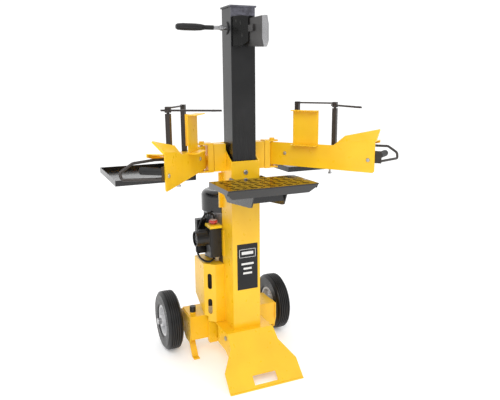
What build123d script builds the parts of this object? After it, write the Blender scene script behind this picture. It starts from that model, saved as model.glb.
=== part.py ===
from build123d import *
import math
import os

# Vertical log splitter, millimetres. The design frame has X to the right seen from the front,
# Y to the back and Z up, with the column's axis at X = Y = 0 and the ground at Z = 0.
# Every piece is shifted by SHIFT when written, so the origin is the footprint's centre.

# wheels and axle
WHEEL_R = 125.0
WHEEL_W = 64.0
WHEEL_X = 248.0
AXLE_Y = 219.0
AXLE_R = 10.0
RIM_R = 66.0

# oil tank beam
TANK_X = 190.0
TANK_Y0 = 84.0
TANK_Y1 = 204.0
TANK_Z0 = 76.0
TANK_Z1 = 178.0
WALL = 3.0

# fixed column and the moving column inside it
COL_X = 57.5
COL_Y = 54.5
COL_WALL = 4.0
COL_Z0 = 86.0
COL_FRONT_TOP = 827.0
COL_BACK_TOP = 893.0
TUBE_X = 47.0
TUBE_Y = 43.5
TUBE_Z0 = 512.0
TUBE_Z1 = 1378.0
TOP_Z = 1384.0
STROKE = 390.0
PORT_Z = 240.0

# wedge
WEDGE_Z0 = 1244.0
WEDGE_Z1 = 1345.0

# foot plate, sloping down to the floor in front
FOOT_TOP = (0.0, -86.0, 161.0)
FOOT_ANGLE = 44.46
FOOT_T = 5.0
BASE_TOP = 157.0
CHEEK_BOLT_Y = -70.0
CHEEK_BOLT_Z = 136.0

# table
TABLE_X = 169.5
TABLE_Y0 = -305.0
TABLE_Y1 = -118.0
TABLE_Z = 774.0
RAIL_X = 59.5

# trays
TRAY_X0 = 190.0
TRAY_X1 = 482.0
TRAY_Y0 = -38.0
TRAY_Y1 = 292.0
TRAY_Z0 = 770.0
TRAY_Z1 = 790.0

# arms: the vertical pivot, the direction and the sizes along the arm
PIVOT_X = 146.0
PIVOT_Y = 21.0
PRESS_Z = 840.0
ARM_ANGLE = -54.56
ARM_S0 = 4.0
ARM_S1 = 423.0
ARM_Z0 = 800.0
ARM_Z1 = 896.0
LIP_S0 = 285.0
ARM_C0 = -14.0
ARM_C1 = 46.0
SHEET = 4.0
POST = 16.0
POST_TOP = 1043.0
POST_IN_S = 93.0
POST_OUT_S = 248.0
POST_C = 36.0
CLAW_S0 = 101.0
CLAW_S1 = 205.0

# motor and pump behind the column
MOTOR_X = -17.0
MOTOR_Y = 175.0
MOTOR_R = 72.0
MOTOR_Z0 = 395.0
MOTOR_Z1 = 600.0
FAN_R = 80.0
FAN_Z1 = 686.0
SHAFT_R = 12.0
SPOOL_X = 76.0
SPOOL_Y = 170.0

# motor guard
GUARD_Z1 = 404.0
GUARD_T = 2.0
SLOT_R = 9.5

# switch on the left of the column
SW_X0 = -110.0
SW_X1 = -60.5
SW_Y0 = 50.0
SW_Y1 = 104.0
SW_Z0 = 432.0
SW_Z1 = 548.0

# lead between the motor and the switch
LEAD_R = 4.0
LEAD_ROUTE = [
    (-70, 113, 572), (-70, 113, 588), (-84, 116, 601), (-103, 119, 600), (-121, 125, 572), (-134, 129, 534),
    (-142, 129, 492), (-144, 125, 450), (-139, 109, 421), (-123, 84, 410), (-103, 68, 411), (-86, 76, 421),
]


def box(x0, x1, y0, y1, z0, z1):
    size = Box(x1 - x0, y1 - y0, z1 - z0)
    return Pos((x0 + x1) / 2, (y0 + y1) / 2, (z0 + z1) / 2) * size


def cyl_z(x, y, z0, z1, r):
    return Pos(x, y, (z0 + z1) / 2) * Cylinder(r, z1 - z0)


def cyl_x(x0, x1, y, z, r):
    return Pos((x0 + x1) / 2, y, z) * Rot(0, 90, 0) * Cylinder(r, x1 - x0)


def cyl_y(x, y0, y1, z, r):
    return Pos(x, (y0 + y1) / 2, z) * Rot(90, 0, 0) * Cylinder(r, y1 - y0)


def poly(points):
    return make_face(Polyline(*points, close=True))


def prism_x(points, x0, x1):
    """Outline in (Y, Z), pulled along X."""
    face = Plane.YZ * poly(points)
    return Pos(x0, 0, 0) * extrude(face, amount=x1 - x0, dir=(1, 0, 0))


def prism_y(points, y0, y1):
    """Outline in (X, Z), pulled along Y."""
    face = Plane.XZ * poly(points)
    return Pos(0, y0, 0) * extrude(face, amount=y1 - y0, dir=(0, 1, 0))


def prism_z(points, z0, z1):
    """Outline in (X, Y), pulled along Z."""
    face = poly(points)
    return Pos(0, 0, z0) * extrude(face, amount=z1 - z0, dir=(0, 0, 1))


def mirrored(shape):
    return mirror(shape, about=Plane.YZ)


def bend_radii(points):
    """The largest arcs that the runs of a route leave room for."""
    radii = []
    for a, b, c in zip(points, points[1:], points[2:]):
        run_in = Vector(*b) - Vector(*a)
        run_out = Vector(*c) - Vector(*b)
        half_turn = math.radians(run_in.get_angle(run_out) / 2)
        radii.append(0.45 * min(run_in.length, run_out.length) / math.tan(half_turn))
    return radii


def tube_path(points, radii, r):
    path = FilletPolyline(*points, radius=radii)
    start = Plane(origin=path @ 0, z_dir=path % 0)
    return sweep(start * Circle(r), path=path)


# ---------------------------------------------------------------- base

def tank_beam():
    body = box(-TANK_X, TANK_X, TANK_Y0, TANK_Y1, TANK_Z0, TANK_Z1)
    body -= box(-TANK_X + WALL, TANK_X - WALL, TANK_Y0 + WALL, TANK_Y1 - WALL, TANK_Z0 + WALL, TANK_Z1 - WALL)
    outline = [(80, 176), (80, 110), (96, 60), (150, 60), (205, 95), (248, 100), (248, 150), (205, 172)]
    for side in (-1, 1):
        inner = side * TANK_X
        outer = side * (TANK_X + 5)
        body += prism_x(outline, min(inner, outer), max(inner, outer))
        leg = [(60, 0), (84, 0), (92, 8), (142, TANK_Z0 + 1), (130, TANK_Z0 + 1), (82, 5), (60, 5)]
        body += prism_x(leg, min(side * 165, side * 190), max(side * 165, side * 190))
        boss = cyl_z(side * 170, 122, TANK_Z1, TANK_Z1 + 8, 12)
        if side < 0:
            body += boss
    body -= cyl_z(-170, 122, TANK_Z1 - 10, TANK_Z1 + 8, 9)
    body -= cyl_x(-220, 220, AXLE_Y, WHEEL_R, AXLE_R + 0.1)
    return body


def foot_underside(y):
    """Height of the foot plate's underside, just clear of the plate."""
    a = math.radians(FOOT_ANGLE)
    y0 = FOOT_TOP[1] + FOOT_T * math.sin(a)
    z0 = FOOT_TOP[2] - FOOT_T * math.cos(a)
    return z0 + (y - y0) * math.tan(a) - 0.02


def base_frame():
    side = [(-82.4, foot_underside(-82.5)), (-218, foot_underside(-218)), (-190, 16), (-60, 80), (20, 80)]
    side += [(20, BASE_TOP - 5), (-82.4, BASE_TOP - 5)]
    body = box(-92, 92, -66, 84, 80, 86)
    for x in (-97, 92):
        body += prism_x(side, x, x + 5)
    body += box(-92, 92, 79, 84, 86, BASE_TOP - 5)
    body += box(-97, 97, -82.4, 84, BASE_TOP - 5, BASE_TOP)
    body += box(-120, -60, 60, 84, 62, BASE_TOP) - box(-117, -63, 63, 85, 65, BASE_TOP - 3)
    body -= box(-COL_X, COL_X, -COL_Y, COL_Y, BASE_TOP - 6, BASE_TOP + 1)
    for x in (-97, 92):
        body -= cyl_x(x - 1, x + 6, CHEEK_BOLT_Y, CHEEK_BOLT_Z, 5)
    return body


def foot_plane():
    a = math.radians(FOOT_ANGLE)
    return Plane(origin=FOOT_TOP, x_dir=(1, 0, 0), z_dir=(0, -math.sin(a), math.cos(a)))


def foot_plate():
    outline = [(-97, 0), (-101, -58), (-150, -145), (-151, -224)]
    outline += [(-x, y) for x, y in reversed(outline)]
    plate = poly(outline) - Pos(0, -194) * Rectangle(96, 36)
    body = foot_plane() * extrude(plate, amount=-FOOT_T)
    body += box(-151, 151, -250, -244, 0, 5)
    body -= box(-160, 160, -300, 0, -20, 0)
    return body


def column():
    body = box(-COL_X, COL_X, -COL_Y, COL_Y, COL_Z0, COL_BACK_TOP)
    inner_x = COL_X - COL_WALL
    inner_y = COL_Y - COL_WALL
    body -= box(-inner_x, inner_x, -inner_y, inner_y, COL_Z0 - 1, COL_BACK_TOP + 1)
    slant = [(-60, COL_FRONT_TOP), (-COL_Y, COL_FRONT_TOP), (COL_Y, COL_BACK_TOP), (60, 900), (-60, 900)]
    body -= prism_x(slant, -80, 80)
    body -= box(-COL_X - 1, -inner_x + 1, -12, -4, 806, 832)
    for z in (756, 787):
        body -= cyl_y(0, -COL_Y - 1, -inner_y + 1, z, 5.1)
    for x in (-COL_X - 13, COL_X):
        body += box(x, x + 13, 44, COL_Y, 636, 775)
    body += box(-COL_X - 3, -COL_X, 36, SW_Y1, 436, 544)
    for x in (-18, 18):
        body -= cyl_y(x, inner_y - 1, COL_Y + 1, PORT_Z, 5.2)
    return body


def guide_pads():
    gap = 0.3
    body = Part()
    inner_x = COL_X - COL_WALL
    inner_y = COL_Y - COL_WALL
    for z in (540, 730):
        body += box(-36, 36, -inner_y, -TUBE_Y - gap, z, z + 80)
        body += box(-36, 36, TUBE_Y + gap, inner_y, z, z + 80)
        body += box(-inner_x, -TUBE_X - gap, -36, 36, z, z + 80)
        body += box(TUBE_X + gap, inner_x, -36, 36, z, z + 80)
    for z in (756, 787):
        body -= cyl_y(0, -COL_Y, -TUBE_Y, z, 5.1)
    return body


def guide_bolts():
    body = Part()
    for z in (756, 787):
        head = cyl_y(0, -COL_Y - 5, -COL_Y, z, 9)
        head = fillet(head.edges().filter_by(GeomType.CIRCLE).sort_by(Axis.Y)[:1], 3.5)
        shank = cyl_y(0, -COL_Y, -COL_Y + 8, z, 5)
        socket = Pos(0, -COL_Y - 5, z) * Rot(90, 0, 0) * extrude(RegularPolygon(3.2, 6), amount=3, both=True)
        body += head + shank - socket
    for x0, x1, s0, s1 in ((-102, -97, -97, -86), (97, 102, 86, 97)):
        head = cyl_x(x0, x1, CHEEK_BOLT_Y, CHEEK_BOLT_Z, 9)
        head = chamfer(head.edges().filter_by(GeomType.CIRCLE), 1)
        body += head + cyl_x(s0, s1, CHEEK_BOLT_Y, CHEEK_BOLT_Z, 4.9)
    return body


def axle():
    body = cyl_x(-292, 292, AXLE_Y, WHEEL_R, AXLE_R)
    for side in (-1, 1):
        x0 = min(side * 195, side * 213.5)
        x1 = max(side * 195, side * 213.5)
        body += cyl_x(x0, x1, AXLE_Y, WHEEL_R, 16)
    return body


def axle_nuts():
    body = Part()
    for side in (-1, 1):
        x0 = min(side * 284, side * 298)
        x1 = max(side * 284, side * 298)
        nut = cyl_x(x0, x1, AXLE_Y, WHEEL_R, 13.5)
        outer = nut.edges().filter_by(GeomType.CIRCLE).sort_by(Axis.X)
        outer = outer[:1] if side < 0 else outer[-1:]
        nut = fillet(outer, 3)
        body += nut - cyl_x(-292, 292, AXLE_Y, WHEEL_R, AXLE_R)
    return body


def cylinder_barrel():
    body = cyl_z(0, 0, COL_Z0, 640, 35)
    body -= cyl_z(0, 0, 106, 641, 30)
    for x in (-18, 18):
        port = cyl_y(x, 25, COL_Y - COL_WALL, PORT_Z, 9) - cyl_y(x, 20, 60, PORT_Z, 4)
        body += port - cyl_z(0, 0, 106, 641, 30)
    return body


def cylinder_gland():
    body = cyl_z(0, 0, 640, 664, 35) - cyl_z(0, 0, 639, 665, 17.6)
    return body


def motor_guard():
    outer = [(-COL_X, 40), (-96, 40), (-133, 77), (-133, 192), (-COL_X, 192)]
    inner = [(-COL_X, 42), (-95.2, 42), (-131, 77.8), (-131, 190), (-COL_X, 190)]
    body = prism_z(outer, BASE_TOP + 1, GUARD_Z1) - prism_z(inner, 150, GUARD_Z1 - GUARD_T)
    body -= cyl_z(MOTOR_X, MOTOR_Y, 376, GUARD_Z1 + 1, MOTOR_R + 4)
    low = [(66, 140), (66, TANK_Z1 + 2), (84, TANK_Z1 + 2), (192, 240), (200, 240), (200, 140)]
    body -= prism_x(low, -140, -40)
    body -= box(-COL_X - 3.2, -40, 42, 200, GUARD_Z1 - 40, GUARD_Z1 + 1)
    slot = Pos(-114.5, 58.5, 0) * Rot(0, 0, -45)
    for z0, z1 in ((190, 256), (298, 364)):
        long_hole = box(-SLOT_R, SLOT_R, -8, 8, z0 + SLOT_R, z1 - SLOT_R)
        long_hole += Pos(0, 0, z0 + SLOT_R) * Rot(90, 0, 0) * Cylinder(SLOT_R, 16)
        long_hole += Pos(0, 0, z1 - SLOT_R) * Rot(90, 0, 0) * Cylinder(SLOT_R, 16)
        body -= slot * long_hole
    return body


def motor_bracket():
    body = box(-90, 56, COL_Y, 250, 380, 386) - cyl_z(MOTOR_X, MOTOR_Y, 379, 387, 40)
    for x in (-40, 36):
        body += prism_x([(COL_Y, 300), (60, 300), (120, 380), (COL_Y, 380)], x, x + 4)
    return body


def motor_body():
    body = cyl_z(MOTOR_X, MOTOR_Y, MOTOR_Z0, MOTOR_Z1, MOTOR_R - 7)
    for k in range(36):
        fin = Pos(MOTOR_X, MOTOR_Y, 0) * Rot(0, 0, k * 10) * box(50, MOTOR_R, -1.2, 1.2, 410, 592)
        body += fin
    body += cyl_z(MOTOR_X, MOTOR_Y, 386, 402, MOTOR_R)
    body += cyl_z(MOTOR_X, MOTOR_Y, 592, MOTOR_Z1, MOTOR_R)
    body += box(-92, MOTOR_X - 50, 142, 166, 440, 560)
    body -= cyl_z(MOTOR_X, MOTOR_Y, 385, 601, 20)
    body -= cyl_z(MOTOR_X, MOTOR_Y, 420, 580, 52)
    return body


def motor_fan_cover():
    body = cyl_z(MOTOR_X, MOTOR_Y, MOTOR_Z1, FAN_Z1, FAN_R)
    body = fillet(body.edges().filter_by(GeomType.CIRCLE).sort_by(Axis.Z)[-1:], 26)
    cavity = cyl_z(MOTOR_X, MOTOR_Y, MOTOR_Z1 + 2.5, FAN_Z1 - 3, FAN_R - 3)
    cavity = fillet(cavity.edges().filter_by(GeomType.CIRCLE).sort_by(Axis.Z)[-1:], 24)
    body -= cavity
    body -= cyl_z(MOTOR_X, MOTOR_Y, MOTOR_Z1 - 1, MOTOR_Z1 + 3, 60)
    for k in range(24):
        vent = Pos(MOTOR_X, MOTOR_Y, 0) * Rot(0, 0, k * 15) * box(22, 50, -2, 2, FAN_Z1 - 8, FAN_Z1 + 1)
        body -= vent
    return body


def rotor():
    body = cyl_z(MOTOR_X, MOTOR_Y, 350, 650, SHAFT_R)
    body += cyl_z(MOTOR_X, MOTOR_Y, 430, 570, 42)
    body += cyl_z(MOTOR_X, MOTOR_Y, 618, 650, 22)
    for k in range(8):
        blade = Pos(MOTOR_X, MOTOR_Y, 0) * Rot(0, 0, k * 45) * box(18, 62, -1.5, 1.5, 620, 648)
        body += blade
    return body


def pump_body():
    body = box(-55, 21, 135, 215, 262, 380)
    body = chamfer(body.edges().filter_by(Axis.Z), 10)
    body -= cyl_z(MOTOR_X, MOTOR_Y, 340, 381, SHAFT_R + 0.3)
    body += cyl_z(MOTOR_X, MOTOR_Y, TANK_Z1, 262, 22)
    body -= box(-80, 60, 200, 240, TANK_Z0, 200)
    bowl = cyl_z(-90, 125, 205, 375, 30)
    bowl = fillet(bowl.edges().filter_by(GeomType.CIRCLE).sort_by(Axis.Z)[:1], 8)
    body += bowl + box(-80, -50, 147, 165, 330, 370)
    return body


def valve_block():
    body = box(21, 98, 140, 200, 270, 350)
    body = chamfer(body.edges().filter_by(Axis.Z), 4)
    body -= cyl_z(SPOOL_X, SPOOL_Y, 260, 360, 8.1)
    body += cyl_x(98, 116, 158, 300, 11) + cyl_x(116, 122, 158, 300, 7)
    return body


def spool():
    """Valve spool with its pull rod up to the levers' cross beam."""
    body = cyl_z(SPOOL_X, SPOOL_Y, 252, 372, 8)
    body += cyl_z(SPOOL_X, SPOOL_Y, 368, 378, 13)
    body += cyl_z(SPOOL_X, SPOOL_Y, 378, 752, 5)
    body += box(SPOOL_X - 8, SPOOL_X + 8, 90, SPOOL_Y + 10, 752, 764)
    body += cyl_z(SPOOL_X, 98, 764, 778, 6)
    return body


def hydraulic_pipes():
    """Two bent steel lines from the valve to the unions on the column's back."""
    body = Part()
    for x, end_x, z in ((-18, 34, 332), (18, 62, 296)):
        pts = [(x, COL_Y + 14, PORT_Z), (x, 98, PORT_Z), (end_x, 112, z), (end_x, 140, z)]
        body += tube_path(pts, [14, 12], 5)
        body += cyl_y(x, COL_Y, COL_Y + 14, PORT_Z, 9)
    return body


def terminal_box():
    body = box(-136, -92, 138, 168, 428, 572)
    body = fillet(body.edges().filter_by(Axis.Z), 4)
    body = chamfer(body.faces().sort_by(Axis.Z)[0].edges(), 2)
    x, y, z = LEAD_ROUTE[0]
    body += box(-102, -90, 107, 142, z - 24, z - 10)
    body += box(-102, x + 6, 107, y + 4, z - 24, z - 10)
    body += cyl_z(x, y, z - 10, z, 5.5)
    return body


def switch_box():
    body = box(SW_X0, SW_X1, SW_Y0, SW_Y1, SW_Z0, SW_Z1)
    body = fillet(body.edges().filter_by(Axis.Z), 4)
    body -= cyl_z(-86, 61, 536, SW_Z1 + 1, 7)
    for x in (-104, -67):
        body -= cyl_y(x, SW_Y0 - 1, SW_Y0 + 2, 440, 3)
    for y in (SW_Y0 + 4, SW_Y1 - 12):
        body += box(SW_X0 - 2, SW_X0 + 3, y, y + 8, SW_Z1 - 6, SW_Z1 + 4)
    body -= cyl_y(SW_X0 - 0.5, SW_Y0, SW_Y1, SW_Z1 + 1, 1.1)
    return body


def inlet_socket():
    body = cyl_x(-165, SW_X0 - 4, 78, 511, 31) - cyl_x(-166, SW_X0 - 12, 78, 511, 27)
    body += box(SW_X0 - 4, SW_X0, 50, 104, 478, 540)
    body += cyl_x(-160, SW_X0 - 12, 78, 511, 19)
    for k in range(5):
        a = math.radians(72 * k + 90)
        y = 78 + 12 * math.cos(a)
        z = 511 + 12 * math.sin(a)
        body -= cyl_x(-161, -150, y, z, 3)
        body += cyl_x(-162, -140, y, z, 2)
    body += box(-150, SW_X0 - 4, 73, 83, 541, 546)
    return body


def lead_gland():
    body = box(-84, -66, 69, 87, 424, SW_Z0)
    body += box(-82, -68, 71, 85, 410, 424)
    end = Vector(*LEAD_ROUTE[-1])
    way = (end - Vector(*LEAD_ROUTE[-2])).normalized()
    body += Plane(origin=end, z_dir=way) * Pos(0, 0, 5) * Cylinder(6, 10)
    return body


def motor_lead():
    return tube_path(LEAD_ROUTE, bend_radii(LEAD_ROUTE), LEAD_R)


def switch_flap():
    body = box(SW_X0 - 2, SW_X1, SW_Y0 - 4, SW_Y1 + 2, SW_Z1 + 4, SW_Z1 + 16)
    body = chamfer(body.faces().sort_by(Axis.Z)[-1].edges(), 3)
    body -= box(SW_X0 + 3, SW_X1 - 3, SW_Y0, SW_Y1 - 2, SW_Z1 + 3, SW_Z1 + 12)
    body -= cyl_z(-86, 78, SW_Z1, SW_Z1 + 20, 8.1)
    body -= box(SW_X0 - 3, SW_X0 + 3.3, SW_Y0 + 3.5, SW_Y0 + 12.5, SW_Z1 + 3, SW_Z1 + 9)
    body -= box(SW_X0 - 3, SW_X0 + 3.3, SW_Y1 - 12.5, SW_Y1 - 3.5, SW_Z1 + 3, SW_Z1 + 9)
    return body


def stop_button():
    body = cyl_z(-86, 78, SW_Z1 + 22, SW_Z1 + 34, 17)
    body = fillet(body.edges().filter_by(GeomType.CIRCLE).sort_by(Axis.Z)[-1:], 7)
    body += cyl_z(-86, 78, SW_Z1 + 8, SW_Z1 + 22, 8)
    return body


def start_button():
    body = cyl_z(-86, 61, 539, SW_Z1 + 3, 6.9)
    body = fillet(body.edges().filter_by(GeomType.CIRCLE).sort_by(Axis.Z)[-1:], 1)
    return body


def decal_panel():
    return box(-39, 47, -COL_Y - 0.6, -COL_Y, 320, 506)


def oil_cap():
    body = cyl_z(-170, 122, TANK_Z1 + 8, TANK_Z1 + 32, 12.5)
    for k in range(12):
        body -= Pos(-170, 122, 0) * Rot(0, 0, k * 30) * cyl_z(14, 0, TANK_Z1 + 14, TANK_Z1 + 33, 2.2)
    body += cyl_z(-170, 122, 150, TANK_Z1 + 8, 8.5)
    return body


# ---------------------------------------------------------------- levers and trays

def lever_frame():
    body = box(-235, 235, 56, 84, 802, 840)
    body -= box(-236, 236, 59, 81, 805, 837)
    body += box(-COL_X, COL_X, COL_Y, 56, 802, 840)
    for side in (-1, 1):
        x0 = min(side * COL_X, side * 104)
        x1 = max(side * COL_X, side * 104)
        housing = box(x0, x1, 0, 56, 788, 892) - box(x0 + 4, x1 - 4, 4, 52, 792, 888)
        housing += cyl_x(min(side * 98, side * 130), max(side * 98, side * 130), PIVOT_Y, PRESS_Z, 8)
        body += housing
        b0 = min(side * 196, side * 232)
        b1 = max(side * 196, side * 232)
        body += box(b0, b1, 84, 250, 788, 794)
        body += box(b0, b1, 78, 84, 788, 802)
        body += box(b0, b1, 84, 88, 794, 830)
    for x in (-110, 104):
        body -= box(x, x + 6, 45, 56, 786, 804)
    return body


def tray():
    body = box(TRAY_X0, TRAY_X1, TRAY_Y0, TRAY_Y1, TRAY_Z0, TRAY_Z1)
    body -= box(TRAY_X0 + 2, TRAY_X1 - 2, TRAY_Y0 + 2, TRAY_Y1 - 2, TRAY_Z0 + 2, TRAY_Z1 + 1)
    body += box(196, 232, 90, 244, TRAY_Z0 + 2, 788)
    body -= box(200, 228, 94, 240, TRAY_Z0 + 2, 789)
    return body


def yoke():
    body = box(106, 128, 0, 42, 786, 896)
    body += box(128, 164, 3, 39, 890, 896)
    body += box(128, 164, 3, 39, 786, 792)
    body += cyl_z(PIVOT_X, PIVOT_Y, 792, 890, 6)
    body += cyl_z(PIVOT_X, PIVOT_Y, 896, 903, 10)
    body -= cyl_x(100, 132.5, PIVOT_Y, PRESS_Z, 8.1)
    return body


def arm_frame():
    """Placement of the arm's own axes: x along the arm, y outward, z up."""
    return Pos(PIVOT_X, PIVOT_Y, 0) * Rot(0, 0, ARM_ANGLE)


def arm_plate():
    inner = [(ARM_S0, ARM_Z0), (ARM_S1 - 6, 796), (ARM_S1, ARM_Z0 + 2), (ARM_S1, 918), (LIP_S0, 893)]
    inner += [(262, ARM_Z1 - 8), (ARM_S0, ARM_Z1 - 8)]
    body = prism_y(inner, ARM_C0, ARM_C0 + SHEET)
    body += box(30, 130, ARM_C0 + SHEET, ARM_C1, ARM_Z0, ARM_Z0 + 3)
    body += box(234, 254, ARM_C0 + SHEET, 20, ARM_Z0, ARM_Z0 + 4)
    top = [(60, 878), (262, 878), (LIP_S0, 887), (ARM_S1, 911), (ARM_S1, 908), (LIP_S0, 884), (264, 875), (60, 875)]
    body += prism_y(top, ARM_C0 + SHEET, ARM_C1)
    body += prism_y([(60, 864), (264, 864), (ARM_S1, 900), (ARM_S1, 911), (262, 878), (60, 878)], ARM_C1 - 3, ARM_C1)
    return body


def arm_lip():
    """Flared guide along the top of the arm's outer part, widening towards the end."""
    foot = ARM_C0 + SHEET
    sections = [
        (268, [(ARM_C0, 884), (foot, 884), (foot, 888), (foot - 3, 890), (ARM_C0, 890)]),
        (306, [(ARM_C0, 893), (foot, 893), (1, 920), (-3, 924), (ARM_C0, 903)]),
        (ARM_S1 + 5, [(ARM_C0, 911), (foot, 911), (26, 947), (22, 951), (ARM_C0, 917)]),
    ]
    faces = [Pos(x, 0, 0) * (Plane.YZ * poly(outline)) for x, outline in sections]
    return loft(faces[:2], ruled=True) + loft(faces[1:], ruled=True)


def arm_shell():
    body = arm_plate() + arm_lip()
    knuckle = cyl_z(0, 0, 800, 884, 14) - cyl_z(0, 0, 799, 885, 6.1)
    web = box(8, 50, ARM_C0 + SHEET, 0, 803, 870) - cyl_z(0, 0, 799, 885, 10)
    body += knuckle + web
    body -= cyl_z(0, 0, 799, 885, 6.1)
    body -= cyl_z(244, 10, ARM_Z0 - 1, ARM_Z0 + 5, 4.05)
    return body


def arm_bolts():
    """Two button heads on the inner face and the stop bolt under the arm."""
    body = Part()
    for along, z in ((65, 847), (399, 842)):
        head = cyl_y(along, ARM_C0 - 4, ARM_C0, z, 7)
        body += fillet(head.edges().filter_by(GeomType.CIRCLE).sort_by(Axis.Y)[:1], 3)
    body += cyl_z(244, 10, 783, ARM_Z0 + 8, 4)
    for z0, z1 in ((778, 784), (ARM_Z0 + 4, ARM_Z0 + 9)):
        body += Pos(244, 10, z0) * extrude(RegularPolygon(7.5, 6), amount=z1 - z0)
    return body


def arm_posts():
    half = POST / 2
    body = box(POST_IN_S - half, POST_IN_S + half, POST_C - half, POST_C + half, 878, POST_TOP)
    body += box(POST_OUT_S - half, POST_OUT_S + half, POST_C - half, POST_C + half, 878, 1020)
    body += cyl_z(POST_OUT_S, POST_C, 1020, 1034, 5)
    body += box(POST_OUT_S - half, POST_OUT_S + half, POST_C - half, POST_C + half, 1034, POST_TOP)
    length = POST_OUT_S - POST_IN_S - POST
    body += Pos((POST_IN_S + POST_OUT_S) / 2, POST_C, 1038.5) * Rot(0, 90, 0) * Cylinder(3, length)
    return body


def arm_claw():
    plate_c = ARM_C0 - 3
    body = box(CLAW_S0, CLAW_S1, plate_c, ARM_C0, 882, 1014)
    body += box(CLAW_S0, CLAW_S0 + 3, ARM_C0, POST_C - 9, ARM_Z1 + 2, 1010)
    tooth_len = (CLAW_S1 - CLAW_S0) / 8
    for z in (882, 1011):
        lip = [(CLAW_S0, plate_c), (CLAW_S1, plate_c), (CLAW_S1, plate_c - 22)]
        for k in range(8):
            s = CLAW_S1 - tooth_len * k
            lip += [(s - tooth_len / 2, plate_c - 31), (s - tooth_len, plate_c - 22)]
        body += prism_z(lip, z, z + 3)
    return body


def arm_grip():
    body = cyl_y(438, -9, 62, 861, 11.5)
    body = fillet(body.edges().filter_by(GeomType.CIRCLE), 3)
    return body


def arm_guard():
    body = box(404, 447, -10, -9, 822, 876)
    body = box(404, 447, ARM_C0 + SHEET, -9, 832, 876)
    route = [(436, -8.9, 838), (470, 108, 838), (466, 116, 858), (440, 84, 884), (400, 30, 890), (380, -5, 890)]
    hoop = tube_path(route, [10, 12, 22, 18], 4.5)
    body += hoop
    body += box(372, 388, ARM_C0 + SHEET, 2, 880, 896)
    return body


def claw_bar(angle):
    """Pointed bar on the outer post's pin, in the arm's own axes."""
    z0 = 1027.9
    outline = [(-26, 0), (-20, -6), (146, -5), (150, -11), (182, 0), (150, 11), (146, 5), (-20, 6)]
    blade = prism_z(outline, z0, z0 + 6)
    eye = cyl_z(0, 0, z0 - 4, z0 + 6, 11)
    bar = blade + eye - cyl_z(0, 0, z0 - 5, z0 + 7, 5.1)
    return Pos(POST_OUT_S, POST_C, 0) * Rot(0, 0, angle) * bar


# ---------------------------------------------------------------- moving column

def moving_column():
    body = box(-TUBE_X, TUBE_X, -TUBE_Y, TUBE_Y, TUBE_Z0, TUBE_Z1)
    body -= box(-TUBE_X + 4, TUBE_X - 4, -TUBE_Y + 4, TUBE_Y - 4, TUBE_Z0 - 1, TUBE_Z1 + 1)
    port_slot = STROKE - (TUBE_Z0 - PORT_Z) + 20
    body -= box(-29, 29, TUBE_Y - 5, TUBE_Y + 1, TUBE_Z0 - 1, TUBE_Z0 + port_slot)
    body += box(-TUBE_X - 4, TUBE_X + 4, -TUBE_Y - 4, TUBE_Y + 4, TUBE_Z1, TOP_Z)
    disc = cyl_x(-TUBE_X - 5, -TUBE_X, -3, 1309, 23)
    body += chamfer(disc.edges().filter_by(GeomType.CIRCLE).sort_by(Axis.X)[:1], 3)
    return body


def knife():
    side = [(-52, 1334), (-236, 1332), (-253, 1305), (-253, 1250), (-237, 1232), (-163, 1236), (-52, 1246)]
    body = prism_x(side, -8, 8)
    body &= prism_y([(-8, 1340), (8, 1340), (8, 1262), (1, 1231), (-1, 1231), (-8, 1262)], -260, -40)
    body &= prism_z([(-8, -40), (8, -40), (8, -222), (1.2, -254), (-1.2, -254), (-8, -222)], 1200, 1350)
    body += box(-14, -8, -160, -122, 1288, 1310)
    return body


def wedge_expander():
    plan = [(-42, -TUBE_Y), (42, -TUBE_Y), (42, -52), (12, -118), (-12, -118), (-42, -52)]
    body = prism_z(plan, WEDGE_Z0, WEDGE_Z1)
    body &= prism_x([(-40, 1400), (-40, 1244), (-90, 1244), (-120, 1258), (-120, 1338), (-90, 1345)], -60, 60)
    body -= box(-8, 8, -130, -52, 1200, 1400)
    return body


def grip_boss():
    body = cyl_x(-98, -TUBE_X - 5, -3, 1309, 7)
    body += cyl_x(-72, -64, -3, 1309, 10)
    body += cyl_x(-200, -98, -3, 1309, 4)
    return body


def side_grip():
    profile = [(0, 0), (8, 0), (8, 32), (11, 46), (12.5, 70), (12.5, 112), (11, 132), (7, 138), (0, 138)]
    body = revolve(Plane.XZ * poly(profile), axis=Axis.Z)
    body = Pos(-98, -3, 1309) * Rot(0, -90, 0) * body
    body -= cyl_x(-200, -97, -3, 1309, 4)
    return body


def cylinder_rod():
    return cyl_z(0, 0, 618, TUBE_Z1, 17.5) + cyl_z(0, 0, 590, 618, 29.9)


# ---------------------------------------------------------------- wheels

def tyre():
    half = WHEEL_W / 2
    profile = [(RIM_R, -half + 6), (RIM_R + 8, -half + 1), (WHEEL_R - 14, -half), (WHEEL_R - 3, -half + 7)]
    groove_r = WHEEL_R - 5
    for k in range(5):
        z = -18 + 9 * k
        profile += [(WHEEL_R - abs(z + -2) * 0.04, z - 2.5), (groove_r, z - 1.5), (groove_r, z + 1.5)]
        profile += [(WHEEL_R - abs(z + 2) * 0.04, z + 2.5)]
    profile += [(WHEEL_R - 3, half - 7), (WHEEL_R - 14, half), (RIM_R + 8, half - 1), (RIM_R, half - 6)]
    ring = revolve(Plane.XZ * poly(profile), axis=Axis.Z)
    return Pos(WHEEL_X, AXLE_Y, WHEEL_R) * Rot(0, 90, 0) * ring


def rim():
    profile = [(10.1, -33), (24, -33), (24, -16), (52, -10), (58, -26), (RIM_R, -26), (RIM_R, 26), (58, 26)]
    profile += [(54, 12), (26, 8), (24, 34), (10.1, 34)]
    ring = revolve(Plane.XZ * poly(profile), axis=Axis.Z)
    for k in range(6):
        ring -= Rot(0, 0, k * 60) * Pos(39, 0, 0) * Cylinder(6, 60)
    return Pos(WHEEL_X, AXLE_Y, WHEEL_R) * Rot(0, 90, 0) * ring


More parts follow.
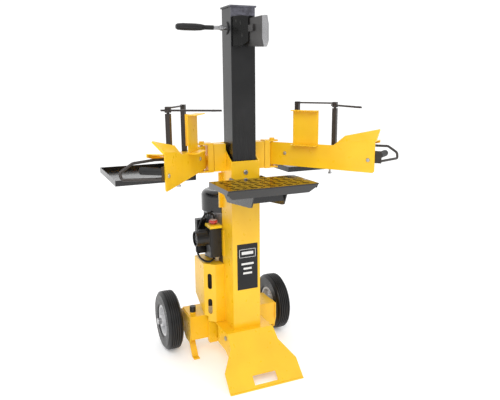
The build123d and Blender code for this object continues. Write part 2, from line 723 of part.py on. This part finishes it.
# ---------------------------------------------------------------- table

def table_plate():
    body = box(-TABLE_X, TABLE_X, TABLE_Y0, TABLE_Y1, TABLE_Z - 4, TABLE_Z)
    front = [(TABLE_Y0, TABLE_Z), (TABLE_Y0 + 26, 738), (TABLE_Y0 + 30, 738), (TABLE_Y0 + 6, TABLE_Z)]
    flange = prism_x(front, -TABLE_X, TABLE_X)
    corner = [(-TABLE_X - 1, 730), (-145, 730), (-145, 738), (-TABLE_X - 1, 762)]
    flange -= prism_y(corner, -310, -270)
    flange -= mirrored(prism_y(corner, -310, -270))
    body += flange
    for x in (-TABLE_X, TABLE_X - 4):
        body += box(x, x + 4, TABLE_Y0 + 10, TABLE_Y1, 756, TABLE_Z - 4)
    for row in range(6):
        for col in range(9):
            turn = 40 if (row + col) % 2 else -40
            x = -132 + 33 * col
            y = TABLE_Y0 + 26 + 27 * row
            body += Pos(x, y, TABLE_Z + 0.5) * Rot(0, 0, turn) * Box(24, 5, 1.4)
    return body


def table_frame():
    rail = [(-270, 770), (-273, 742), (-250, 697), (-240, 694), (-23, 671), (14, 700), (34, 712)]
    rail += [(34, 722), (-26, 746), (-54, 770)]
    body = prism_x(rail, RAIL_X, RAIL_X + 5)
    body += mirrored(body)
    body += box(-RAIL_X, RAIL_X, -76, -57.5, 706, 740)
    body += box(-RAIL_X, RAIL_X, -256, -252, 712, 740)
    body += cyl_x(-80, 80, -110, 756, 6)
    return body


def sided(shape):
    return {"left": mirrored(shape), "right": shape}


def build():
    nodes = {
        "tank_beam": tank_beam(), "base_frame": base_frame(), "foot_plate": foot_plate(),
        "column": column(), "guide_pads": guide_pads(), "guide_bolts": guide_bolts(),
        "axle": axle(), "axle_nuts": axle_nuts(), "cylinder_barrel": cylinder_barrel(),
        "cylinder_gland": cylinder_gland(), "motor_body": motor_body(),
        "motor_fan_cover": motor_fan_cover(), "rotor": rotor(), "pump_body": pump_body(),
        "valve_block": valve_block(), "valve_spool": spool(), "hydraulic_pipes": hydraulic_pipes(),
        "motor_bracket": motor_bracket(), "terminal_box": terminal_box(), "motor_guard": motor_guard(),
        "switch_box": switch_box(), "inlet_socket": inlet_socket(), "lead_gland": lead_gland(),
        "motor_lead": motor_lead(), "switch_flap": switch_flap(), "stop_button": stop_button(),
        "start_button": start_button(), "decal_panel": decal_panel(), "oil_cap": oil_cap(),
        "lever_frame": lever_frame(), "moving_column": moving_column(), "knife": knife(), "wedge_expander": wedge_expander(), "grip_boss": grip_boss(),
        "side_grip": side_grip(), "cylinder_rod": cylinder_rod(), "table_plate": table_plate(),
        "table_frame": table_frame(),
    }
    paired = {"tray": tray(), "yoke": yoke(), "tyre": tyre(), "rim": rim()}
    arm_parts = {"arm": arm_shell(), "arm_posts": arm_posts(), "arm_claw": arm_claw()}
    arm_parts.update({"arm_grip": arm_grip(), "arm_guard": arm_guard(), "arm_bolts": arm_bolts()})
    for name, shape in arm_parts.items():
        paired[name] = arm_frame() * shape
    for name, shape in paired.items():
        for side, placed in sided(shape).items():
            nodes[name + "_" + side] = placed
    nodes["claw_bar_right"] = arm_frame() * claw_bar(-38)
    nodes["claw_bar_left"] = mirrored(arm_frame() * claw_bar(-90))
    return nodes


def overall_box(nodes):
    boxes = [shape.bounding_box() for shape in nodes.values()]
    low = [min(tuple(b.min)[i] for b in boxes) for i in range(3)]
    high = [max(tuple(b.max)[i] for b in boxes) for i in range(3)]
    return low, high


NODES = build()
LOW, HIGH = overall_box(NODES)
SHIFT = (-(LOW[0] + HIGH[0]) / 2, -(LOW[1] + HIGH[1]) / 2, -LOW[2])

os.makedirs("parts", exist_ok=True)
for node_name, node_shape in NODES.items():
    export_step(Pos(*SHIFT) * node_shape, "parts/" + node_name + ".step")
print("box", [round(v, 2) for v in LOW], [round(v, 2) for v in HIGH], "shift", [round(v, 3) for v in SHIFT])
print("lead tube radius", LEAD_R, "bend radii", [round(r, 1) for r in bend_radii(LEAD_ROUTE)])
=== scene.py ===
import math

import bmesh
import bpy
from mathutils import Matrix, Vector


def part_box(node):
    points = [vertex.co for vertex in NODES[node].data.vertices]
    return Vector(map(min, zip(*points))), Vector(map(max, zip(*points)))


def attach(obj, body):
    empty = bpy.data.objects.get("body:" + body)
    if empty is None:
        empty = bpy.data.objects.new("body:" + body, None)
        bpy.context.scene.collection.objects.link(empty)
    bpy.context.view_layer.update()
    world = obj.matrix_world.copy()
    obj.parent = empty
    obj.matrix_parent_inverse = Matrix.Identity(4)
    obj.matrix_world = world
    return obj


# Looks of the vertical log splitter, in metres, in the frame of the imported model:
# X to the right seen from the front, Y to the back, Z up, ground at Z = 0.

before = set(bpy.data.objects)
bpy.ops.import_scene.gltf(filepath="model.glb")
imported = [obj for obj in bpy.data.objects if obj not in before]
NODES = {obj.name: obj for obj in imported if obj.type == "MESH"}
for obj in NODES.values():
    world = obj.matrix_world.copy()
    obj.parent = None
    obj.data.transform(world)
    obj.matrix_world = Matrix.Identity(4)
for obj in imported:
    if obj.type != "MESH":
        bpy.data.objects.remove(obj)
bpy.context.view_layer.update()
SIDES = ("left", "right")

# view: where the camera stands, how it is turned (degrees), its lens and sensor (mm), and how far it sees
CAMERA_AT = (-0.8002, -1.9194, 1.1289)
CAMERA_YAW = 23.63
CAMERA_PITCH = 12.47
CAMERA_ROLL = -0.49
CAMERA_LENS = 39.4
SENSOR_WIDTH = 36.0
FAR_CLIP = 100.0

# colours, linear
YELLOW = (0.93, 0.555, 0.012)
YELLOW_DEEP = (0.88, 0.495, 0.008)
BLACK = (0.004, 0.004, 0.0045)
RUBBER = (0.006, 0.006, 0.0065)
STEEL = (0.55, 0.55, 0.56)
DARK_STEEL = (0.055, 0.047, 0.043)
RIM = (0.58, 0.58, 0.59)
WHITE_INK = (0.78, 0.78, 0.76)

# brightness of the surround, behind and above, and to the sides and in front
BACK_STRENGTH = 1.12
SIDE_STRENGTH = 0.55
# where it goes from one to the other: the axis, and the part of the direction along it
SURROUND_RAMPS = (("Y", -0.2, 0.45), ("Z", 0.35, 0.95))

# area lights: place, aim, width and height, all in metres, and watts
KEY_LIGHT = ((-1.6, -3.2, 3.4), (0.0, -0.1, 0.7), (2.4, 2.4), 85.0)
FILL_LIGHT = ((3.2, -1.6, 2.0), (0.0, 0.0, 0.7), (2.0, 3.0), 20.0)

# floor: its side, how far it lies below the ground plane, and the strength of its own light
FLOOR_SIZE = 40.0
FLOOR_DROP = 0.0005
FLOOR_GLOW = 0.22

# print on the column's label: half its thickness, its lines, and the frame, block and bars from the top
PRINT_LIFT = 0.0002
PRINT_LINE = 0.0016
FRAME_DROP = 0.021
FRAME_HEIGHT = 0.034
BLOCK_INSET = 0.010
BLOCK_RAISE = 0.012
BARS_DROP = 0.030
BAR_PITCH = 0.019
BAR_HEIGHT = 0.008
# how far the frame and the bars reach from the label's middle, as shares of its width
FRAME_REACH = 0.40
BAR_REACHES = (0.30, 0.20, 0.22)

# tyres: radii over which the side wall ends and the ribs begin, the ribs painted paler as a highlight and the
# groove bottoms darker as painted shade; the rings' frequency, in radians per metre
SIDE_WALL_END = (0.116, 0.119)
RIB_HIGHLIGHT_START = (0.1215, 0.1240)
RING_FREQUENCY = 2100.0

# moving column: heights above its foot over which the grease fades; then, for the bare patch,
# the depths below its top and behind its front face over which it starts and ends, and its raggedness
GREASE_FADE = (0.30, 0.52)
BARE_START = (0.036, 0.024)
BARE_END = (0.0055, 0.0060)
BARE_RAGGED = 0.016

# stop button: depths below its top over which the painted highlight on the cap's top starts
CAP_HIGHLIGHT_START = (0.0014, 0.0008)

# knife: depths behind its front edge over which the ground steel ends
GROUND_END = (0.030, 0.031)

CENTRE = {side: (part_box("tyre_" + side)[0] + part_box("tyre_" + side)[1]) / 2 for side in SIDES}


# ---------------------------------------------------------------- node helpers

class Tree:
    """One material's nodes, with short calls to add and join them."""

    def __init__(self, name):
        self.material = bpy.data.materials.new(name)
        self.material.use_nodes = True
        self.nodes = self.material.node_tree.nodes
        self.links = self.material.node_tree.links
        self.nodes.clear()
        self.output = self.nodes.new("ShaderNodeOutputMaterial")
        self.shader = self.nodes.new("ShaderNodeBsdfPrincipled")
        self.links.new(self.shader.outputs[0], self.output.inputs[0])
        self.place = self.nodes.new("ShaderNodeTexCoord").outputs["Object"]

    def node(self, kind, **values):
        made = self.nodes.new(kind)
        for key, value in values.items():
            if key in made.inputs:
                made.inputs[key].default_value = value
            else:
                setattr(made, key, value)
        return made

    def join(self, source, target):
        self.links.new(source, target)

    def stretched(self, scale):
        """The object's own coordinates, scaled along each axis."""
        mapping = self.node("ShaderNodeMapping")
        mapping.inputs["Scale"].default_value = scale
        self.join(self.place, mapping.inputs["Vector"])
        return mapping.outputs["Vector"]

    def noise(self, scale, detail=3.0, rough=0.5, place=None):
        made = self.node("ShaderNodeTexNoise", Scale=scale, Detail=detail, Roughness=rough)
        self.join(place or self.place, made.inputs["Vector"])
        return made.outputs["Fac"]

    def voronoi(self, scale, place=None):
        made = self.node("ShaderNodeTexVoronoi", Scale=scale)
        self.join(place or self.place, made.inputs["Vector"])
        return made.outputs["Distance"]

    def math(self, operation, a, b=None):
        made = self.node("ShaderNodeMath", operation=operation)
        for socket, value in zip(made.inputs, (a, b)):
            if value is None:
                continue
            if isinstance(value, (int, float)):
                socket.default_value = value
            else:
                self.join(value, socket)
        return made.outputs[0]

    def remap(self, value, low, high, to_low, to_high):
        made = self.node("ShaderNodeMapRange")
        for name, number in (("From Min", low), ("From Max", high), ("To Min", to_low), ("To Max", to_high)):
            made.inputs[name].default_value = number
        self.join(value, made.inputs["Value"])
        return made.outputs[0]

    def blend(self, factor, first, second):
        made = self.node("ShaderNodeMix", data_type="RGBA")
        self.join(factor, made.inputs[0])
        for socket, value in ((made.inputs[6], first), (made.inputs[7], second)):
            if isinstance(value, tuple):
                socket.default_value = (*value, 1.0)
            else:
                self.join(value, socket)
        return made.outputs[2]

    def bump(self, layers):
        """Bump from (height, strength, distance) layers, one on top of the other."""
        normal = None
        for height, strength, distance in layers:
            made = self.node("ShaderNodeBump", Strength=strength, Distance=distance)
            self.join(height, made.inputs["Height"])
            if normal is not None:
                self.join(normal, made.inputs["Normal"])
            normal = made.outputs[0]
        self.join(normal, self.shader.inputs["Normal"])

    def surface(self, color=None, rough=None, **constants):
        for key, value in (("Base Color", color), ("Roughness", rough)):
            socket = self.shader.inputs[key]
            if value is None:
                continue
            if isinstance(value, tuple):
                socket.default_value = (*value, 1.0)
            elif isinstance(value, float):
                socket.default_value = value
            else:
                self.join(value, socket)
        for key, value in constants.items():
            self.shader.inputs[key.replace("_", " ")].default_value = value
        return self.material


# ---------------------------------------------------------------- materials

def paint(name, color, deep, rough_low, rough_high, coat):
    """Powder coat: faint orange peel, slight cloudiness, fine darker specks."""
    tree = Tree(name)
    cloud = tree.noise(9.0, 4.0)
    tint = tree.blend(tree.remap(cloud, 0.35, 0.68, 0.0, 1.0), color, deep)
    speck = tree.remap(tree.noise(420.0, 2.0), 0.60, 0.74, 0.0, 0.15)
    tint = tree.blend(speck, tint, deep)
    rough = tree.remap(tree.noise(38.0, 5.0), 0.3, 0.7, rough_low, rough_high)
    peel = tree.noise(520.0, 1.0)
    wave = tree.noise(60.0, 2.0)
    tree.bump([(wave, 0.04, 0.002), (peel, 0.06, 0.0005)])
    return tree.surface(tint, rough, Coat_Weight=coat, Coat_Roughness=0.12, IOR=1.5)


def black_coat(name, rough_low, rough_high, coat):
    tree = Tree(name)
    cloud = tree.noise(14.0, 4.0)
    tint = tree.blend(tree.remap(cloud, 0.35, 0.7, 0.0, 1.0), BLACK, (0.008, 0.008, 0.009))
    rough = tree.remap(tree.noise(55.0, 5.0, 0.6), 0.3, 0.7, rough_low, rough_high)
    tree.bump([(tree.noise(40.0, 2.0), 0.06, 0.002), (tree.noise(600.0, 1.0), 0.08, 0.0005)])
    return tree.surface(tint, rough, Coat_Weight=coat, Coat_Roughness=0.08, Specular_IOR_Level=0.35)


def table_coat():
    """Thick black enamel of the table, smooth enough to mirror the column."""
    tree = Tree("table_enamel")
    tint = tree.blend(tree.remap(tree.noise(14.0, 4.0), 0.35, 0.7, 0.0, 1.0), BLACK, (0.007, 0.007, 0.008))
    rough = tree.remap(tree.noise(55.0, 5.0, 0.6), 0.3, 0.7, 0.05, 0.12)
    tree.bump([(tree.noise(30.0, 2.0), 0.03, 0.001)])
    return tree.surface(tint, rough, Coat_Weight=0.3, Coat_Roughness=0.03, Specular_IOR_Level=0.4)


def wedge_coat():
    """Deep black paint of the wedge with a few upright scratches down to the steel."""
    tree = Tree("wedge_coat")
    tint = tree.blend(tree.noise(30.0, 4.0), (0.0015, 0.0015, 0.0016), (0.005, 0.005, 0.0045))
    lines = tree.noise(1.0, 2.0, 0.5, tree.stretched((260.0, 260.0, 14.0)))
    scratch = tree.remap(lines, 0.70, 0.74, 0.0, 0.7)
    rough = tree.remap(tree.noise(60.0, 5.0, 0.6), 0.3, 0.7, 0.18, 0.34)
    tree.bump([(tree.noise(90.0, 3.0), 0.10, 0.001), (lines, 0.08, 0.0004)])
    tint = tree.blend(scratch, tint, (0.42, 0.42, 0.40))
    return tree.surface(tint, rough, Coat_Weight=0.1, Coat_Roughness=0.1, Specular_IOR_Level=0.2)


def column_coat():
    """Black paint of the moving column: grease streaks low down, bare steel at the top of its front."""
    corner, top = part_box("moving_column")
    low = corner.z
    tree = Tree("column_coat")
    cloud = tree.noise(12.0, 4.0)
    tint = tree.blend(tree.remap(cloud, 0.35, 0.7, 0.0, 1.0), (0.006, 0.006, 0.0065), (0.012, 0.012, 0.013))
    streak = tree.noise(1.0, 3.0, 0.55, tree.stretched((120.0, 120.0, 5.0)))
    split = tree.node("ShaderNodeSeparateXYZ")
    tree.join(tree.place, split.inputs[0])
    full, none = GREASE_FADE
    height = tree.remap(split.outputs["Z"], low + full, low + none, 1.0, 0.0)
    mask = tree.math("MULTIPLY", tree.remap(streak, 0.42, 0.58, 0.0, 1.0), height)
    tint = tree.blend(mask, tint, (0.002, 0.002, 0.002))
    ragged = tree.math("ADD", split.outputs["Z"], tree.math("MULTIPLY", tree.noise(70.0, 4.0), BARE_RAGGED))
    none, full = BARE_START
    bare = tree.remap(ragged, top.z - none, top.z - full, 0.0, 1.0)
    full, none = BARE_END
    front = tree.remap(split.outputs["Y"], corner.y + full, corner.y + none, 1.0, 0.0)
    worn = tree.remap(tree.noise(60.0, 5.0, 0.65), 0.36, 0.6, 0.35, 1.0)
    bare = tree.math("MULTIPLY", tree.math("MULTIPLY", bare, front), worn)
    brushed = tree.noise(1.0, 3.0, 0.6, tree.stretched((90.0, 90.0, 500.0)))
    scuff = tree.blend(brushed, (0.085, 0.083, 0.105), (0.26, 0.26, 0.31))
    tint = tree.blend(bare, tint, scuff)
    tree.join(tree.math("MULTIPLY", bare, 0.7), tree.shader.inputs["Metallic"])
    rough = tree.remap(mask, 0.0, 1.0, 0.34, 0.12)
    tree.bump([(tree.noise(45.0, 2.0), 0.05, 0.002), (tree.noise(620.0, 1.0), 0.08, 0.0005)])
    return tree.surface(tint, rough, Coat_Weight=0.15, Coat_Roughness=0.12, Specular_IOR_Level=0.35)


def plastic(name, color, rough=0.42, grain=900.0, coat=0.0):
    tree = Tree(name)
    pale = tuple(min(1.0, channel * 1.5 + 0.004) for channel in color)
    tint = tree.blend(tree.remap(tree.noise(30.0, 4.0), 0.4, 0.75, 0.0, 0.6), color, pale)
    height = tree.voronoi(grain)
    roughness = tree.remap(tree.noise(80.0, 4.0), 0.3, 0.7, rough - 0.07, rough + 0.1)
    tree.bump([(height, 0.18, 0.0004)])
    return tree.surface(tint, roughness, Coat_Weight=coat, Coat_Roughness=0.1, Specular_IOR_Level=0.4)


def stop_cap():
    """Red mushroom cap whose top is painted pale pink as a highlight."""
    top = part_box("stop_button")[1].z
    tree = Tree("stop_red")
    split = tree.node("ShaderNodeSeparateXYZ")
    tree.join(tree.place, split.inputs[0])
    red = tree.blend(tree.noise(60.0, 3.0), (0.60, 0.05, 0.04), (0.52, 0.03, 0.025))
    pale = tree.blend(tree.noise(150.0, 2.0), (0.72, 0.56, 0.53), (0.66, 0.48, 0.45))
    none, full = CAP_HIGHLIGHT_START
    # painted highlight: the cap's top is coloured pale pink, as if lit from above
    cap_top_highlight = tree.remap(split.outputs["Z"], top - none, top - full, 0.0, 1.0)
    tree.bump([(tree.voronoi(1600.0), 0.1, 0.0003)])
    rough = tree.remap(tree.noise(80.0, 4.0), 0.3, 0.7, 0.24, 0.36)
    return tree.surface(tree.blend(cap_top_highlight, red, pale), rough, Coat_Weight=0.3, Coat_Roughness=0.1)


def rubber(name, color, rough):
    tree = Tree(name)
    dust = tree.remap(tree.noise(26.0, 6.0, 0.65), 0.45, 0.8, 0.0, 0.55)
    tint = tree.blend(dust, color, (0.026, 0.025, 0.024))
    tree.bump([(tree.noise(300.0, 3.0), 0.2, 0.0006)])
    return tree.surface(tint, tree.remap(dust, 0.0, 0.5, rough, rough + 0.15), Specular_IOR_Level=0.4)


def tyre_rubber(side):
    """Tyre: fine moulding rings round the hub's axis on the side walls, ribs painted paler as a highlight
    over groove bottoms left dark as painted shade, some dust.
    """
    tree = Tree("tyre_rubber_" + side)
    centre = CENTRE[side]
    offset = tree.node("ShaderNodeVectorMath", operation="SUBTRACT")
    offset.inputs[1].default_value = (0.0, centre.y, centre.z)
    tree.join(tree.place, offset.inputs[0])
    flat = tree.node("ShaderNodeVectorMath", operation="MULTIPLY")
    flat.inputs[1].default_value = (0.0, 1.0, 1.0)
    tree.join(offset.outputs[0], flat.inputs[0])
    length = tree.node("ShaderNodeVectorMath", operation="LENGTH")
    tree.join(flat.outputs[0], length.inputs[0])
    radius = length.outputs["Value"]
    rings = tree.math("SINE", tree.math("MULTIPLY", radius, RING_FREQUENCY))
    side_wall = tree.remap(radius, *SIDE_WALL_END, 1.0, 0.0)
    ring_height = tree.math("MULTIPLY", rings, side_wall)
    dust = tree.remap(tree.noise(22.0, 6.0, 0.65), 0.45, 0.8, 0.0, 0.5)
    tint = tree.blend(dust, RUBBER, (0.022, 0.0215, 0.0205))
    # painted highlight on the ribs' tops, with the groove bottoms left darker as painted shade
    rib_highlight = tree.remap(radius, *RIB_HIGHLIGHT_START, 0.0, 1.0)
    tint = tree.blend(rib_highlight, tint, (0.020, 0.020, 0.021))
    tree.bump([(ring_height, 0.25, 0.0005), (tree.noise(420.0, 3.0), 0.15, 0.0005)])
    return tree.surface(tint, tree.remap(dust, 0.0, 0.5, 0.32, 0.55), Specular_IOR_Level=0.35)


def metal(name, color, rough_low, rough_high, direction, scale=500.0, metallic=1.0):
    """Bare or oiled metal, with fine lines along one direction."""
    tree = Tree(name)
    stretch = tuple(6.0 if axis == direction else scale for axis in "xyz")
    lines = tree.noise(1.0, 3.0, 0.6, tree.stretched(stretch))
    dark = tuple(channel * 0.72 for channel in color)
    tint = tree.blend(tree.remap(lines, 0.35, 0.65, 0.0, 1.0), dark, color)
    blotch = tree.remap(tree.noise(45.0, 5.0, 0.6), 0.5, 0.75, 0.0, 0.35)
    tint = tree.blend(blotch, tint, tuple(channel * 0.55 for channel in color))
    rough = tree.remap(lines, 0.3, 0.7, rough_low, rough_high)
    tree.bump([(lines, 0.12, 0.0004)])
    return tree.surface(tint, rough, Metallic=metallic)


def cast_metal(name, color, rough):
    tree = Tree(name)
    tint = tree.blend(tree.noise(70.0, 5.0, 0.6), color, tuple(channel * 0.6 for channel in color))
    tree.bump([(tree.noise(330.0, 4.0, 0.6), 0.4, 0.0012)])
    return tree.surface(tint, rough, Metallic=0.75)


def knife_steel():
    """Dark knife plate whose ground front edge is bright."""
    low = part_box("knife")[0]
    tree = Tree("knife_steel")
    split = tree.node("ShaderNodeSeparateXYZ")
    tree.join(tree.place, split.inputs[0])
    full, none = GROUND_END
    ground = tree.remap(split.outputs["Y"], low.y + full, low.y + none, 1.0, 0.0)
    lines = tree.noise(1.0, 3.0, 0.6, tree.stretched((600.0, 20.0, 600.0)))
    bright = tree.blend(lines, (0.26, 0.26, 0.265), (0.46, 0.46, 0.47))
    dull = tree.blend(tree.noise(40.0, 5.0), (0.022, 0.021, 0.021), (0.050, 0.047, 0.045))
    tree.join(tree.remap(ground, 0.0, 1.0, 0.35, 1.0), tree.shader.inputs["Metallic"])
    tree.bump([(lines, 0.10, 0.0004), (tree.noise(260.0, 3.0), 0.12, 0.0006)])
    return tree.surface(tree.blend(ground, dull, bright), tree.remap(ground, 0.0, 1.0, 0.38, 0.24))


def decal_film():
    tree = Tree("decal_film")
    tint = tree.blend(tree.noise(60.0, 3.0), (0.005, 0.005, 0.0055), (0.008, 0.008, 0.0085))
    tree.bump([(tree.noise(700.0, 1.0), 0.04, 0.0003)])
    return tree.surface(tint, tree.remap(tree.noise(25.0, 3.0), 0.3, 0.7, 0.3, 0.42), Specular_IOR_Level=0.35)


def ink():
    tree = Tree("decal_ink")
    tint = tree.blend(tree.noise(240.0, 2.0), WHITE_INK, (0.68, 0.68, 0.66))
    return tree.surface(tint, tree.remap(tree.noise(60.0, 3.0), 0.3, 0.7, 0.35, 0.5))


def studio_floor():
    tree = Tree("studio_floor")
    tint = tree.blend(tree.noise(2.0, 2.0), (0.925, 0.925, 0.925), (0.935, 0.935, 0.935))
    tree.shader.inputs["Emission Color"].default_value = (1.0, 1.0, 1.0, 1.0)
    return tree.surface(tint, 0.9, Emission_Strength=FLOOR_GLOW)


MATERIALS = {
    "yellow": paint("yellow_powder_coat", YELLOW, YELLOW_DEEP, 0.26, 0.38, 0.12),
    "black": black_coat("black_coat", 0.20, 0.34, 0.35),
    "table": table_coat(),
    "wedge": wedge_coat(),
    "column": column_coat(),
    "dark_steel": metal("dark_steel", DARK_STEEL, 0.30, 0.45, "z", metallic=0.55),
    "chrome": metal("chromed_rod", (0.82, 0.82, 0.84), 0.05, 0.12, "z"),
    "zinc": metal("zinc_plate", STEEL, 0.25, 0.42, "x"),
    "alloy": cast_metal("motor_alloy", (0.42, 0.43, 0.44), 0.45),
    "cast": cast_metal("pump_casting", (0.085, 0.085, 0.09), 0.55),
    "plastic": plastic("black_plastic", (0.006, 0.006, 0.0065), 0.34, 1400.0, 0.1),
    "gloss_plastic": plastic("gloss_black_plastic", (0.003, 0.003, 0.0035), 0.2, 1500.0, 0.4),
    "grip": rubber("grip_rubber", (0.008, 0.008, 0.0085), 0.45),
    "cable": rubber("cable_rubber", (0.007, 0.007, 0.0075), 0.36),
    "rim": paint("rim_grey_paint", RIM, (0.48, 0.48, 0.49), 0.3, 0.45, 0.2),
    "guide": plastic("guide_plastic", (0.70, 0.68, 0.62), 0.4),
    "flap": plastic("flap_yellow", (0.88, 0.55, 0.01), 0.3, 1400.0, 0.3),
    "red": stop_cap(),
    "green": plastic("start_green", (0.02, 0.28, 0.05), 0.25, 1600.0, 0.4),
    "decal": decal_film(),
    "ink": ink(),
    "knife": knife_steel(),
    "floor": studio_floor(),
}
for side in SIDES:
    MATERIALS["tyre_" + side] = tyre_rubber(side)

LOOK_OF = {
    "yellow": ["tank_beam", "base_frame", "foot_plate", "column", "motor_bracket", "motor_guard",
               "lever_frame", "yoke_left", "yoke_right", "arm_left", "arm_right", "arm_claw_left",
               "arm_claw_right"],
    "black": ["tray_left", "tray_right", "table_frame"],
    "table": ["table_plate"],
    "wedge": ["wedge_expander"],
    "column": ["moving_column"],
    "dark_steel": ["cylinder_barrel", "cylinder_gland", "hydraulic_pipes", "arm_posts_left",
                   "arm_posts_right", "claw_bar_left", "claw_bar_right", "arm_guard_left",
                   "arm_guard_right"],
    "chrome": ["cylinder_rod"],
    "zinc": ["guide_bolts", "axle", "axle_nuts", "lead_gland", "grip_boss", "valve_spool", "rotor",
             "arm_bolts_left", "arm_bolts_right"],
    "alloy": ["motor_body"],
    "cast": ["pump_body", "valve_block"],
    "plastic": ["terminal_box", "switch_box", "inlet_socket", "oil_cap"],
    "gloss_plastic": ["motor_fan_cover"],
    "grip": ["side_grip", "arm_grip_left", "arm_grip_right"],
    "cable": ["motor_lead"],
    "rim": ["rim_left", "rim_right"],
    "guide": ["guide_pads"],
    "flap": ["switch_flap"],
    "red": ["stop_button"],
    "green": ["start_button"],
    "decal": ["decal_panel"],
    "knife": ["knife"],
    "tyre_left": ["tyre_left"],
    "tyre_right": ["tyre_right"],
}


def give(piece, look):
    piece.data.materials.clear()
    piece.data.materials.append(MATERIALS[look])


# ---------------------------------------------------------------- pieces added to the frame

def mesh_piece(name, build, look, body):
    mesh = bpy.data.meshes.new(name)
    shape = bmesh.new()
    build(shape)
    bmesh.ops.recalc_face_normals(shape, faces=shape.faces)
    shape.to_mesh(mesh)
    shape.free()
    piece = bpy.data.objects.new(name, mesh)
    bpy.context.scene.collection.objects.link(piece)
    piece.data.materials.append(MATERIALS[look])
    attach(piece, body)
    return piece


def slab(shape, low, high):
    """A thin block between two corners."""
    size = Vector(high) - Vector(low)
    middle = (Vector(high) + Vector(low)) / 2
    place = Matrix.Translation(middle) @ Matrix.Diagonal((*size, 1.0))
    bmesh.ops.create_cube(shape, size=1.0, matrix=place)


def decal_print():
    """A white outline and plain bars on the column's label, with no lettering."""
    low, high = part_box("decal_panel")
    face = low.y - PRINT_LIFT
    back = low.y + PRINT_LIFT
    width = high.x - low.x
    middle = (low.x + high.x) / 2
    line = PRINT_LINE

    def build(shape):
        top = high.z - FRAME_DROP
        bottom = top - FRAME_HEIGHT
        left = middle - width * FRAME_REACH
        right = middle + width * FRAME_REACH
        slab(shape, (left, face, top - line), (right, back, top))
        slab(shape, (left, face, bottom), (right, back, bottom + line))
        slab(shape, (left, face, bottom), (left + line, back, top))
        slab(shape, (right - line, face, bottom), (right, back, top))
        corner = (left + BLOCK_INSET, face, bottom + BLOCK_RAISE)
        slab(shape, corner, (right - BLOCK_INSET, back, top - BLOCK_INSET))
        for row, reach in enumerate(BAR_REACHES):
            z = bottom - BARS_DROP - BAR_PITCH * row
            start = middle - width * reach
            end = middle + width * reach
            slab(shape, (start, face, z), (end, back, z + BAR_HEIGHT))

    return mesh_piece("decal_print", build, "ink", "base")


# ---------------------------------------------------------------- stage, light and camera

def studio():
    bpy.ops.mesh.primitive_plane_add(size=FLOOR_SIZE, location=(0.0, 0.0, -FLOOR_DROP))
    floor = bpy.context.object
    floor.name = "studio_floor"
    floor.data.materials.append(MATERIALS["floor"])
    world = bpy.data.worlds.new("studio_world")
    world.use_nodes = True
    soft_surround(world)
    bpy.context.scene.world = world
    bpy.context.scene.view_settings.view_transform = "Standard"


def soft_surround(world):
    """White to look at; as a light, white behind and above the machine and dimmer around it."""
    nodes = world.node_tree.nodes
    links = world.node_tree.links
    split = nodes.new("ShaderNodeSeparateXYZ")
    links.new(nodes.new("ShaderNodeTexCoord").outputs["Generated"], split.inputs[0])
    parts = []
    for axis, low, high in SURROUND_RAMPS:
        ramp = nodes.new("ShaderNodeMapRange")
        ramp.inputs["From Min"].default_value = low
        ramp.inputs["From Max"].default_value = high
        ramp.inputs["To Min"].default_value = SIDE_STRENGTH
        ramp.inputs["To Max"].default_value = BACK_STRENGTH
        links.new(split.outputs[axis], ramp.inputs["Value"])
        parts.append(ramp.outputs[0])
    most = nodes.new("ShaderNodeMath")
    most.operation = "MAXIMUM"
    links.new(parts[0], most.inputs[0])
    links.new(parts[1], most.inputs[1])
    seen = nodes.new("ShaderNodeMath")
    seen.operation = "MULTIPLY"
    links.new(nodes.new("ShaderNodeLightPath").outputs["Is Camera Ray"], seen.inputs[0])
    seen.inputs[1].default_value = BACK_STRENGTH
    both = nodes.new("ShaderNodeMath")
    both.operation = "MAXIMUM"
    links.new(most.outputs[0], both.inputs[0])
    links.new(seen.outputs[0], both.inputs[1])
    nodes["Background"].inputs[0].default_value = (1.0, 1.0, 1.0, 1.0)
    links.new(both.outputs[0], nodes["Background"].inputs[1])


def area_light(name, place, target, size, power):
    data = bpy.data.lights.new(name, "AREA")
    data.shape = "RECTANGLE"
    data.size, data.size_y = size
    data.energy = power
    light = bpy.data.objects.new(name, data)
    light.location = place
    aim = Vector(target) - Vector(place)
    light.rotation_euler = aim.to_track_quat("-Z", "Y").to_euler()
    bpy.context.scene.collection.objects.link(light)


def camera():
    yaw = math.radians(CAMERA_YAW)
    pitch = math.radians(CAMERA_PITCH)
    roll = math.radians(CAMERA_ROLL)
    ahead = Vector((math.sin(yaw) * math.cos(pitch), math.cos(yaw) * math.cos(pitch), -math.sin(pitch)))
    level = Vector((math.cos(yaw), -math.sin(yaw), 0.0))
    upward = level.cross(ahead)
    right = level * math.cos(roll) + upward * math.sin(roll)
    up = upward * math.cos(roll) - level * math.sin(roll)
    data = bpy.data.cameras.new("view")
    data.lens = CAMERA_LENS
    data.sensor_width = SENSOR_WIDTH
    data.clip_end = FAR_CLIP
    view = bpy.data.objects.new("view", data)
    turn = Matrix((right, up, -ahead)).transposed().to_4x4()
    view.matrix_world = Matrix.Translation(CAMERA_AT) @ turn
    bpy.context.scene.collection.objects.link(view)
    bpy.context.scene.camera = view


# ---------------------------------------------------------------- the scene

for look, names in LOOK_OF.items():
    for name in names:
        give(NODES[name], look)

decal_print()
studio()
area_light("key", *KEY_LIGHT)
area_light("fill", *FILL_LIGHT)
camera()
